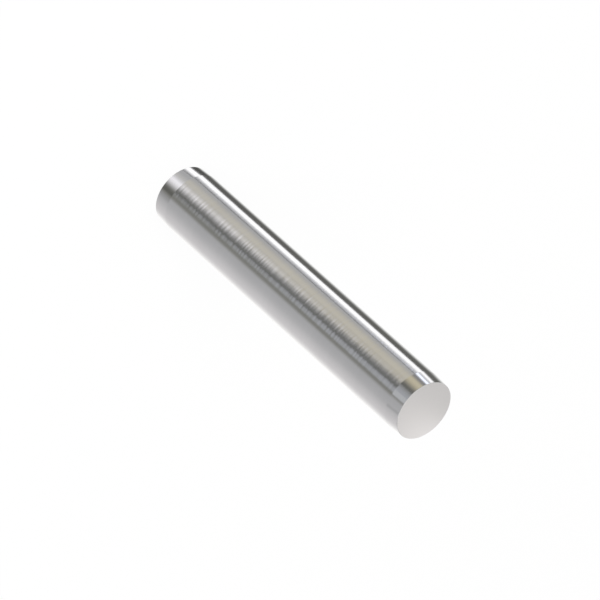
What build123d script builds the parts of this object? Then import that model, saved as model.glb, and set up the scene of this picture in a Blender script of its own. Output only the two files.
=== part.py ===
from build123d import *

import math
import os

# A straight dowel pin: one solid round bar of bright steel, ground to size and
# pressed into reamed holes to line two parts up. It stands on its flat bottom
# end with +Z along its axis, and the origin is the centre of that end's face.
# All lengths are in millimetres.

# Driving dimensions.
shank_diameter = 6.35       # 1/4 in, ground all the way along the shank
pin_length = 38.10          # 1-1/2 in, over both flat end faces
lead_in_length = 1.72       # the taper at each end that guides the pin into its hole
lead_in_angle = 3.5         # degrees between the taper and the axis
rim_radius = 0.04           # the broken edge between a taper and its end face

# What follows from them.
shank_radius = shank_diameter / 2
lead_in_drop = lead_in_length * math.tan(math.radians(lead_in_angle))
end_radius = shank_radius - lead_in_drop
shank_start = lead_in_length
shank_end = pin_length - lead_in_length


def half_section():
    """The outline from the axis out to the surface, in the XZ plane."""
    with BuildSketch(Plane.XZ) as section:
        with BuildLine():
            Polyline(
                (0, 0),
                (end_radius, 0),
                (shank_radius, shank_start),
                (shank_radius, shank_end),
                (end_radius, pin_length),
                (0, pin_length),
                close=True,
            )
        make_face()
    return section.sketch


def dowel_pin():
    """The pin turned from its half section, with both rims rounded over."""
    with BuildPart() as pin:
        add(half_section())
        revolve(axis=Axis.Z)
        circles = pin.edges().filter_by(GeomType.CIRCLE).sort_by(Axis.Z)
        fillet([circles[0], circles[-1]], radius=rim_radius)
    return pin.part


os.makedirs("parts", exist_ok=True)

pin = dowel_pin()
pin.label = "dowel_pin"
export_step(pin, "parts/dowel_pin.step")

print(f"dowel_pin: {shank_diameter} x {pin_length} mm, end faces {2 * end_radius:.3f} mm over the rims")
print(f"volume {pin.volume:.1f} mm3, {len(pin.solids())} solid")
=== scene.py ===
import math
import bmesh
import bpy
from mathutils import Matrix, Vector


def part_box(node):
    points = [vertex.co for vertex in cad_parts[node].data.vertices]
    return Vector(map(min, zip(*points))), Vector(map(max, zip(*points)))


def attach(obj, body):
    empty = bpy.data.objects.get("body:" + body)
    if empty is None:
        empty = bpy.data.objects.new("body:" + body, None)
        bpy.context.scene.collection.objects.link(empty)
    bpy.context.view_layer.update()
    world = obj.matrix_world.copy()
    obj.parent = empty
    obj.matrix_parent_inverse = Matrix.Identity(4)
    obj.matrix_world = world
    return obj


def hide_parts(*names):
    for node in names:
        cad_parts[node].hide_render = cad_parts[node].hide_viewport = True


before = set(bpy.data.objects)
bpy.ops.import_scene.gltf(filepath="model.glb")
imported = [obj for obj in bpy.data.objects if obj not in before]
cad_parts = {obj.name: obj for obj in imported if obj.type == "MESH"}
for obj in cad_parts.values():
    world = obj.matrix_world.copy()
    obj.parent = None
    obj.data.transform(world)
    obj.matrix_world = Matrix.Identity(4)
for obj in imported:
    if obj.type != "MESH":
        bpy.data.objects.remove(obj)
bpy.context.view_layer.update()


# The pin's body
# A straight dowel pin is one solid bar of steel. It is turned with a short taper at each end, the
# lead-in that finds the hole, then ground to size along the shank. The rims are only just broken.
# The mesh is turned as the lathe turns the bar: one half outline, carried round the Z axis.

low_corner, high_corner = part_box("dowel_pin")
pin_bottom = low_corner.z
pin_top = high_corner.z
shank_radius = (high_corner.x - low_corner.x) / 2
lead_in_length = 0.00172
lead_in_angle = math.radians(3.5)
rim_radius = 0.00004
steps_round_pin = 256
steps_on_rim = 6
ring_spacing = 0.0008
holding_band = 0.00002   # a narrow ring beside each rim, so that the rim's curve shades only itself

lead_in_drop = lead_in_length * math.tan(lead_in_angle)
rim_turn = math.pi / 2 - lead_in_angle
rim_centre_radius = shank_radius - lead_in_drop - rim_radius * math.tan(rim_turn / 2)


def evenly(start, stop, spacing):
    """Points (radius, height) from start up to stop, evenly spaced, without stop itself."""
    count = max(1, round(math.dist(start, stop) / spacing))
    points = []
    for step in range(count):
        share = step / count
        points.append((
            start[0] + (stop[0] - start[0]) * share,
            start[1] + (stop[1] - start[1]) * share,
        ))
    return points


def end_outline():
    """The bottom end as three runs of (radius, height): flat face, rounded rim and taper."""
    rim = []
    for step in range(steps_on_rim + 1):
        angle = rim_turn * step / steps_on_rim
        rim.append((
            rim_centre_radius + rim_radius * math.sin(angle),
            pin_bottom + rim_radius * (1 - math.cos(angle)),
        ))
    band_start = (rim_centre_radius - holding_band, pin_bottom)
    face = evenly((0, pin_bottom), band_start, ring_spacing)
    face.append(band_start)
    band_end = (
        rim[-1][0] + holding_band * math.sin(lead_in_angle),
        rim[-1][1] + holding_band * math.cos(lead_in_angle),
    )
    shank_foot = (shank_radius, pin_bottom + lead_in_length)
    taper = evenly(band_end, shank_foot, ring_spacing)
    return face, rim, taper


def mirrored(run):
    """The same run at the top end, in order from the bottom up."""
    return [(radius, pin_bottom + pin_top - height) for radius, height in reversed(run)]


SHANK, LEAD_IN, END_FACE = 0, 1, 2   # the pin's material slots


def pin_outline():
    """The outline from the bottom centre up to the top centre: (point, slot of the strip above it)."""
    face, rim, taper = end_outline()
    shank_foot = (shank_radius, pin_bottom + lead_in_length)
    shank_head = (shank_radius, pin_top - lead_in_length)
    outline = [(point, END_FACE) for point in face]
    outline += [(point, LEAD_IN) for point in rim + taper]
    outline += [(point, SHANK) for point in evenly(shank_foot, shank_head, ring_spacing)]
    outline += [(point, LEAD_IN) for point in [shank_head] + mirrored(taper) + mirrored(rim)]
    outline[-1] = (outline[-1][0], END_FACE)
    outline += [(point, END_FACE) for point in mirrored(face)]
    return outline


def turned(name, outline):
    """A closed mesh of the outline carried round the Z axis, with a fan of triangles at each centre."""
    work = bmesh.new()
    rings = []
    for (radius, height), _ in outline:
        if radius == 0:
            rings.append([work.verts.new((0, 0, height))])
            continue
        ring = []
        for step in range(steps_round_pin):
            angle = 2 * math.pi * step / steps_round_pin
            ring.append(work.verts.new((radius * math.cos(angle), radius * math.sin(angle), height)))
        rings.append(ring)
    for below, above, (_, slot) in zip(rings, rings[1:], outline):
        for step in range(steps_round_pin):
            after = (step + 1) % steps_round_pin
            corners = [below[step % len(below)], below[after % len(below)]]
            corners += [above[after % len(above)], above[step % len(above)]]
            strip = work.faces.new(dict.fromkeys(corners))
            strip.material_index = slot
            strip.smooth = True
    for edge in work.edges:
        slots = {strip.material_index for strip in edge.link_faces}
        edge.smooth = slots != {SHANK, LEAD_IN}   # the line where a taper meets the shank is crisp
    mesh = bpy.data.meshes.new(name)
    work.to_mesh(mesh)
    work.free()
    piece = bpy.data.objects.new(name, mesh)
    bpy.context.scene.collection.objects.link(piece)
    return piece


turned_pin = turned("turned_pin", pin_outline())
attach(turned_pin, "root")
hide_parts("dowel_pin")


# The ground shank and the turned lead-ins
# The shank is bare steel ground between centres. The wheel leaves fine lines right round it: slow
# waves, and closer lines from its grit, all only microns deep. The lead-ins are smoother.


grit_share = 0.20


def wheel_lines_group():
    """Shader group: a mask of fine lines that run round the Z axis, slow waves under closer grit lines."""
    group = bpy.data.node_groups.new("wheel_lines", "ShaderNodeTree")
    group.interface.new_socket("Lines", in_out="OUTPUT", socket_type="NodeSocketFloat")
    nodes = group.nodes
    link = group.links.new
    result = nodes.new("NodeGroupOutput")
    place = nodes.new("ShaderNodeTexCoord")
    layers = []
    # Lines per metre along the pin, how fast they drift round it, their finer detail and its share.
    for along, around, detail, finer_share in ((200, 10, 2.0, 0.45), (2800, 60, 1.0, 0.5)):
        stretched = nodes.new("ShaderNodeVectorMath")
        stretched.operation = "MULTIPLY"
        stretched.inputs[1].default_value = (around, around, along)
        link(place.outputs["Object"], stretched.inputs[0])
        lines = nodes.new("ShaderNodeTexNoise")
        lines.inputs["Scale"].default_value = 1.0
        lines.inputs["Detail"].default_value = detail
        lines.inputs["Roughness"].default_value = finer_share
        link(stretched.outputs["Vector"], lines.inputs["Vector"])
        layers.append(lines.outputs["Fac"])
    waves, grit = layers
    both = nodes.new("ShaderNodeMix")
    both.inputs["Factor"].default_value = grit_share
    link(waves, both.inputs["A"])
    link(grit, both.inputs["B"])
    link(both.outputs["Result"], result.inputs["Lines"])
    return group


wheel_lines = wheel_lines_group()


def lined_steel(name, pale, dark, smoothest, roughest, depth):
    """Bare steel under the lines: its colours and roughness between them and in them, and their depth."""
    material = bpy.data.materials.new(name)
    material.use_nodes = True
    nodes = material.node_tree.nodes
    link = material.node_tree.links.new
    steel = nodes["Principled BSDF"]
    steel.inputs["Metallic"].default_value = 1.0
    lines = nodes.new("ShaderNodeGroup")
    lines.node_tree = wheel_lines
    tone = nodes.new("ShaderNodeMix")
    tone.data_type = "RGBA"
    tone.inputs[6].default_value = (*dark, 1)
    tone.inputs[7].default_value = (*pale, 1)
    link(lines.outputs["Lines"], tone.inputs["Factor"])
    link(tone.outputs[2], steel.inputs["Base Color"])
    polish = nodes.new("ShaderNodeMapRange")
    polish.inputs["To Min"].default_value = roughest
    polish.inputs["To Max"].default_value = smoothest
    link(lines.outputs["Lines"], polish.inputs["Value"])
    link(polish.outputs["Result"], steel.inputs["Roughness"])
    bump = nodes.new("ShaderNodeBump")
    bump.inputs["Distance"].default_value = depth
    link(lines.outputs["Lines"], bump.inputs["Height"])
    link(bump.outputs["Normal"], steel.inputs["Normal"])
    return material


turned_pin.data.materials.append(lined_steel(
    "ground_shank", pale=(0.83, 0.83, 0.83), dark=(0.71, 0.71, 0.71), smoothest=0.10, roughest=0.14,
    depth=20e-6,
))
turned_pin.data.materials.append(lined_steel(
    "turned_lead_in", pale=(0.78, 0.78, 0.78), dark=(0.76, 0.76, 0.76), smoothest=0.11, roughest=0.13,
    depth=6e-7,
))


# The end faces
# Both ends are faced off square to the axis and left satin: bare steel with an even, very fine
# grain, a little darker than the shank because it scatters what it reflects.


def faced_steel(name, pale, dark, smoothest, roughest, grains_per_metre):
    material = bpy.data.materials.new(name)
    material.use_nodes = True
    nodes = material.node_tree.nodes
    link = material.node_tree.links.new
    steel = nodes["Principled BSDF"]
    steel.inputs["Metallic"].default_value = 1.0
    place = nodes.new("ShaderNodeTexCoord")
    grain = nodes.new("ShaderNodeTexNoise")
    grain.inputs["Scale"].default_value = grains_per_metre
    grain.inputs["Detail"].default_value = 2.0
    link(place.outputs["Object"], grain.inputs["Vector"])
    tone = nodes.new("ShaderNodeMix")
    tone.data_type = "RGBA"
    tone.inputs[6].default_value = (*dark, 1)
    tone.inputs[7].default_value = (*pale, 1)
    link(grain.outputs["Fac"], tone.inputs["Factor"])
    link(tone.outputs[2], steel.inputs["Base Color"])
    polish = nodes.new("ShaderNodeMapRange")
    polish.inputs["To Min"].default_value = roughest
    polish.inputs["To Max"].default_value = smoothest
    link(grain.outputs["Fac"], polish.inputs["Value"])
    link(polish.outputs["Result"], steel.inputs["Roughness"])
    return material


turned_pin.data.materials.append(faced_steel(
    "faced_end", pale=(0.79, 0.774, 0.767), dark=(0.755, 0.739, 0.732), smoothest=0.33, roughest=0.37,
    grains_per_metre=9000.0,
))


# The studio
# The pin stands in a white room on a white floor. Round it, from just above the floor's level down,
# hang soft-edged cards, black flags and strip lights for its polished side to mirror.


def studio_card_group():
    """Shader group: 1 where a direction meets a soft-edged card, 0 elsewhere. All angles in degrees."""
    group = bpy.data.node_groups.new("studio_card", "ShaderNodeTree")
    for socket in (
        "Azimuth", "Elevation", "Left edge", "Left full", "Right full", "Right edge", "Lean",
        "Bottom edge", "Bottom full", "Top full", "Top edge",
    ):
        group.interface.new_socket(socket, in_out="INPUT", socket_type="NodeSocketFloat")
    group.interface.new_socket("Mask", in_out="OUTPUT", socket_type="NodeSocketFloat")
    nodes = group.nodes
    link = group.links.new
    given = nodes.new("NodeGroupInput")
    result = nodes.new("NodeGroupOutput")
    leaned = nodes.new("ShaderNodeMath")
    leaned.operation = "MULTIPLY"
    link(given.outputs["Elevation"], leaned.inputs[0])
    link(given.outputs["Lean"], leaned.inputs[1])
    across = nodes.new("ShaderNodeMath")
    across.operation = "SUBTRACT"
    link(given.outputs["Azimuth"], across.inputs[0])
    link(leaned.outputs["Value"], across.inputs[1])
    mask = None
    for along, outside, inside in (
        (across.outputs["Value"], "Left edge", "Left full"),
        (across.outputs["Value"], "Right edge", "Right full"),
        (given.outputs["Elevation"], "Bottom edge", "Bottom full"),
        (given.outputs["Elevation"], "Top edge", "Top full"),
    ):
        fade = nodes.new("ShaderNodeMapRange")
        fade.interpolation_type = "SMOOTHSTEP"
        link(along, fade.inputs["Value"])
        link(given.outputs[outside], fade.inputs["From Min"])
        link(given.outputs[inside], fade.inputs["From Max"])
        if mask is None:
            mask = fade.outputs["Result"]
            continue
        both = nodes.new("ShaderNodeMath")
        both.operation = "MULTIPLY"
        link(mask, both.inputs[0])
        link(fade.outputs["Result"], both.inputs[1])
        mask = both.outputs["Value"]
    link(mask, result.inputs["Mask"])
    return group


studio_card = studio_card_group()
studio = bpy.data.worlds.new("studio")
studio.use_nodes = True
bpy.context.scene.world = studio
studio_nodes = studio.node_tree.nodes
studio_link = studio.node_tree.links.new


def worked_out(operation, *terms):
    """A Math node in the studio's world. Each term is a socket or a number."""
    node = studio_nodes.new("ShaderNodeMath")
    node.operation = operation
    for socket, term in zip(node.inputs, terms):
        if isinstance(term, (int, float)):
            socket.default_value = term
        else:
            studio_link(term, socket)
    return node.outputs["Value"]


# Azimuth is 0 on the camera's side of the pin and grows towards -X. Elevation is 0 at the floor.
direction = studio_nodes.new("ShaderNodeTexCoord")
direction_parts = studio_nodes.new("ShaderNodeSeparateXYZ")
studio_link(direction.outputs["Generated"], direction_parts.inputs["Vector"])
towards_minus_x = worked_out("MULTIPLY", direction_parts.outputs["X"], -1.0)
towards_minus_y = worked_out("MULTIPLY", direction_parts.outputs["Y"], -1.0)
azimuth = worked_out("DEGREES", worked_out("ARCTAN2", towards_minus_x, towards_minus_y))
elevation = worked_out("DEGREES", worked_out("ARCSINE", direction_parts.outputs["Z"]))
all_the_way_down = (-92, -91, 2, 12)
room_colour = (1.11, 1.10, 1.09)
lean_level = -37.7   # the elevation at which a leaning card's edges stand where across puts them
seen_so_far = None


def hang(name, colour, across, up=all_the_way_down, lean=0.0):
    """Hangs a card in front of what is there. across and up are where each pair of edges starts and
    ends; lean is its slant, in degrees of azimuth for each degree of elevation above lean_level."""
    global seen_so_far
    card = studio_nodes.new("ShaderNodeGroup")
    card.node_tree = studio_card
    card.label = name
    studio_link(azimuth, card.inputs["Azimuth"])
    studio_link(elevation, card.inputs["Elevation"])
    for socket, value in zip(("Left edge", "Left full", "Right full", "Right edge"), across):
        card.inputs[socket].default_value = value - lean * lean_level
    for socket, value in zip(("Bottom edge", "Bottom full", "Top full", "Top edge"), up):
        card.inputs[socket].default_value = value
    card.inputs["Lean"].default_value = lean
    front = studio_nodes.new("ShaderNodeMix")
    front.data_type = "RGBA"
    studio_link(card.outputs["Mask"], front.inputs["Factor"])
    if seen_so_far is None:
        front.inputs[6].default_value = (*room_colour, 1)
    else:
        studio_link(seen_so_far, front.inputs[6])
    front.inputs[7].default_value = (*colour, 1)
    seen_so_far = front.outputs[2]


# Most of the numbers below, and room_colour, were found by a fitting program outside this script and
# then rounded. They weren't chosen one by one, so they are no model for lighting another part.
leaning = (-70, -56, -24, -12)
hang("ceiling", (0.72, 0.715, 0.71), across=(-192, -191, 191, 192), up=(-12, -4, 91, 92))
hang("far_left_wall", (0.73, 0.71, 0.72), across=(-163, -109, 160, 178))
hang("near_left_wall", (0.475, 0.475, 0.485), across=(-120.5, -44, 160, 178))
hang("left_shade", (0.44, 0.44, 0.445), across=(-77, -69, -67, -58), up=(-35.5, -34.5, -27, -24))
hang("left_flag", (0.12, 0.12, 0.13), across=(-108, -96, -86, -76), up=(-27, -18, 2, 12), lean=-0.2)
hang("left_strip", (1.25, 1.26, 1.30), across=(-74, -66, -60, -50), up=(-27, -18, 2, 12), lean=-0.2)
hang("dim_foot", (0.32, 0.32, 0.32), across=(-66, -36, 10, 24), up=(-92, -91, -47, -39), lean=0.5)
hang("dim_gap", (0.24, 0.24, 0.22), across=(-44, -28.5, 18.5, 20.5), up=leaning, lean=0.35)
hang("window", (0.43, 0.44, 0.47), across=(-25, -18.5, -4.5, 36), up=(-38.5, -37.5, 2, 12), lean=-0.6)
hang("cool_pane", (0.53, 0.54, 0.56), across=(-25.5, -23.5, -8, -6), up=(-37.5, -31, -14, -6), lean=-0.35)
hang("warm_wall", (0.61, 0.60, 0.59), across=(36, 42.5, 46, 69.5), lean=0.6)
hang("warm_glow", (0.64, 0.58, 0.43), across=(1, 24, 48, 76.5), up=(-44.75, -28.75, -14, -6), lean=1.65)
hang("cool_wall", (0.09, 0.09, 0.09), across=(75, 76.5, 77, 79), lean=-0.05)
hang("dark_edge", (0.25, 0.25, 0.26), across=(48.5, 64.5, 64, 80.5), up=(-33.75, -32.75, 2, 12), lean=0.6)
hang("low_light", (1.10, 1.08, 1.12), across=(-20, 21.5, 19.5, 44), up=(-92, -91, -39.75, -37.5), lean=-0.1)
hang("dark_slant", (0.12, 0.12, 0.11), across=(-11.5, -6, -6.5, 27), up=leaning, lean=2.8)
hang("strip", (1.39, 1.38, 1.40), across=(82.5, 97, 109.5, 114.5), lean=0.65)
hang("second_strip", (1.54, 1.62, 1.90), across=(72, 83, 82, 90), up=(-35.25, -35, 2, 12), lean=-0.05)
hang("strip_gap", (0.76, 0.76, 0.78), across=(85.5, 88.5, 89, 92), up=(-35.25, -35, 2, 12), lean=0.65)
hang("flag", (0.15, 0.15, 0.14), across=(105, 116.5, 149, 155), lean=-0.5)
hang("flag_foot", (0.07, 0.07, 0.07), across=(98, 124.5, 145.5, 153.5), up=(-92, -91, -46, -35.5), lean=-1.4)
hang("far_right_wall", (0.90, 0.90, 0.89), across=(132, 169, 174, 179), lean=-1)
studio_link(seen_so_far, studio_nodes["Background"].inputs["Color"])


# The floor
# A round sheet of white paper, turned up into a low wall at its rim, well away from the pin. The
# camera sees it almost pure white, with the pin's faint shadow on it.

floor_radius = 1.2
wall_height = 0.3
steps_round_floor = 64


def upturned_sheet(name):
    """A flat disc at the pin's foot with a wall round its rim."""
    points = []
    for height in (pin_bottom, pin_bottom + wall_height):
        for step in range(steps_round_floor):
            angle = 2 * math.pi * step / steps_round_floor
            points.append((floor_radius * math.cos(angle), floor_radius * math.sin(angle), height))
    faces = [tuple(range(steps_round_floor))]
    for step in range(steps_round_floor):
        after = (step + 1) % steps_round_floor
        faces.append((step, step + steps_round_floor, after + steps_round_floor, after))
    mesh = bpy.data.meshes.new(name)
    mesh.from_pydata(points, [], faces)
    sheet = bpy.data.objects.new(name, mesh)
    bpy.context.scene.collection.objects.link(sheet)
    return sheet


floor = upturned_sheet("floor")
floor.visible_glossy = False   # the pin's side mirrors the studio's cards through the floor


def white_paper(name, whitened):
    """Matt paper. whitened is the share of it that shows plain white, whatever light falls there."""
    material = bpy.data.materials.new(name)
    material.use_nodes = True
    nodes = material.node_tree.nodes
    link = material.node_tree.links.new
    nodes.remove(nodes["Principled BSDF"])
    paper = nodes.new("ShaderNodeBsdfDiffuse")
    paper.inputs["Color"].default_value = (0.95, 0.95, 0.95, 1)
    white = nodes.new("ShaderNodeEmission")
    ray = nodes.new("ShaderNodeLightPath")
    seen_or_mirrored = nodes.new("ShaderNodeMath")
    seen_or_mirrored.operation = "MAXIMUM"
    link(ray.outputs["Is Camera Ray"], seen_or_mirrored.inputs[0])
    link(ray.outputs["Is Glossy Ray"], seen_or_mirrored.inputs[1])
    or_through_glass = nodes.new("ShaderNodeMath")
    or_through_glass.operation = "MAXIMUM"
    link(seen_or_mirrored.outputs["Value"], or_through_glass.inputs[0])
    link(ray.outputs["Is Transmission Ray"], or_through_glass.inputs[1])
    share = nodes.new("ShaderNodeMath")
    share.operation = "MULTIPLY"
    share.inputs[1].default_value = whitened
    link(or_through_glass.outputs["Value"], share.inputs[0])
    mixed = nodes.new("ShaderNodeMixShader")
    link(share.outputs["Value"], mixed.inputs["Fac"])
    link(paper.outputs["BSDF"], mixed.inputs[1])
    link(white.outputs["Emission"], mixed.inputs[2])
    link(mixed.outputs["Shader"], nodes["Material Output"].inputs["Surface"])
    return material


floor.data.materials.append(white_paper("floor_paper", whitened=0.93))


# The lamps
# A soft key high on the camera's side casts the shadow behind the pin. A small warm lamp close
# behind the top end gives that face its light side. The shank seen from above mirrors neither.


def soft_lamp(name, place, aim, size, energy, colour):
    data = bpy.data.lights.new(name, "AREA")
    data.shape = "DISK"
    data.size = size
    data.energy = energy
    data.color = colour
    lamp = bpy.data.objects.new(name, data)
    lamp.location = place
    lamp.rotation_euler = (Vector(aim) - Vector(place)).to_track_quat("-Z", "Y").to_euler()
    lamp.visible_camera = False
    bpy.context.scene.collection.objects.link(lamp)
    return lamp


pin_middle = Vector((0, 0, (pin_bottom + pin_top) / 2))
top_centre = Vector((0, 0, pin_top))
key = soft_lamp("soft_key", (0, -0.25, 0.45), pin_middle, size=0.3, energy=1.2, colour=(1, 1, 1))
key.visible_glossy = False
warm_white = (1, 0.97, 0.96)
end_lamp_place = top_centre + Vector((0.0024, 0.0122, 0.006))
soft_lamp("end_lamp", end_lamp_place, top_centre, size=0.006, energy=3.8e-5, colour=warm_white)


# The camera
# It looks down on the pin's top end through a long lens. It is rolled, so that the pin lies across
# the picture from upper left to lower right.

camera_data = bpy.data.cameras.new("camera")
camera_data.sensor_width = 36
camera_data.lens = 401
camera_data.clip_start = 0.01
camera = bpy.data.objects.new("camera", camera_data)
camera_elevation = math.radians(37.52)
camera_roll = math.radians(131.8)
tilt = Matrix.Rotation(math.pi / 2 - camera_elevation, 4, "X")
roll = Matrix.Rotation(camera_roll, 4, "Z")
# Its own place: a hair left of and above the pin's middle, and 623 mm back from it.
stand_off = Matrix.Translation((-0.000075, 0.000056, 0.6228))
camera.matrix_world = Matrix.Translation(pin_middle) @ tilt @ roll @ stand_off
bpy.context.scene.collection.objects.link(camera)
bpy.context.scene.camera = camera
bpy.context.scene.view_settings.view_transform = "Standard"
